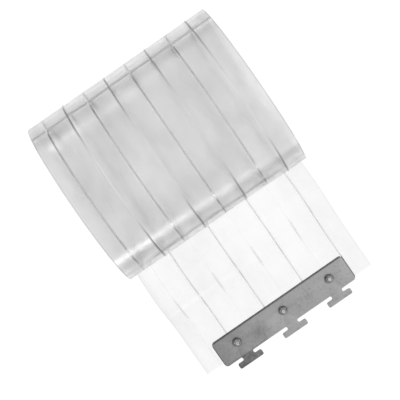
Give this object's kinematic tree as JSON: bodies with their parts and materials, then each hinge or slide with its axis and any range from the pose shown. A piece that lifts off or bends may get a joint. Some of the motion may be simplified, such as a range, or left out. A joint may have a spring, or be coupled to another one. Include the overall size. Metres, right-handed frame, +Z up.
{
  "type": "pvc strip curtain",
  "caption": "Clear ribbed PVC door curtain strip, stored as a loose roll, with its free end clamped between stainless plates that carry T hooks for a curtain rail.",
  "frame": {"origin": "on the floor, under the middle of the whole object's box", "axes": "+X along the roll's axis, -Y along the free end towards the hooks, +Z up"},
  "size_m": [0.3, 0.4834, 0.2596],
  "materials": {
    "clear_pvc": "clear extruded soft PVC, glossy, slightly grey on its edges",
    "stainless_plate": "cold-rolled stainless sheet, matt, with faint rolling grain",
    "stainless_fastener": "bright stainless fasteners"
  },
  "bodies": {
    "root": {"pvc_strip": "clear_pvc", "hook_plate": "stainless_plate", "clamp_plate": "stainless_plate", "stud_left": "stainless_fastener", "stud_middle": "stainless_fastener", "stud_right": "stainless_fastener", "washer_left": "stainless_fastener", "washer_middle": "stainless_fastener", "washer_right": "stainless_fastener", "nut_left": "stainless_fastener", "nut_middle": "stainless_fastener", "nut_right": "stainless_fastener"}
  },
  "joints": []
}
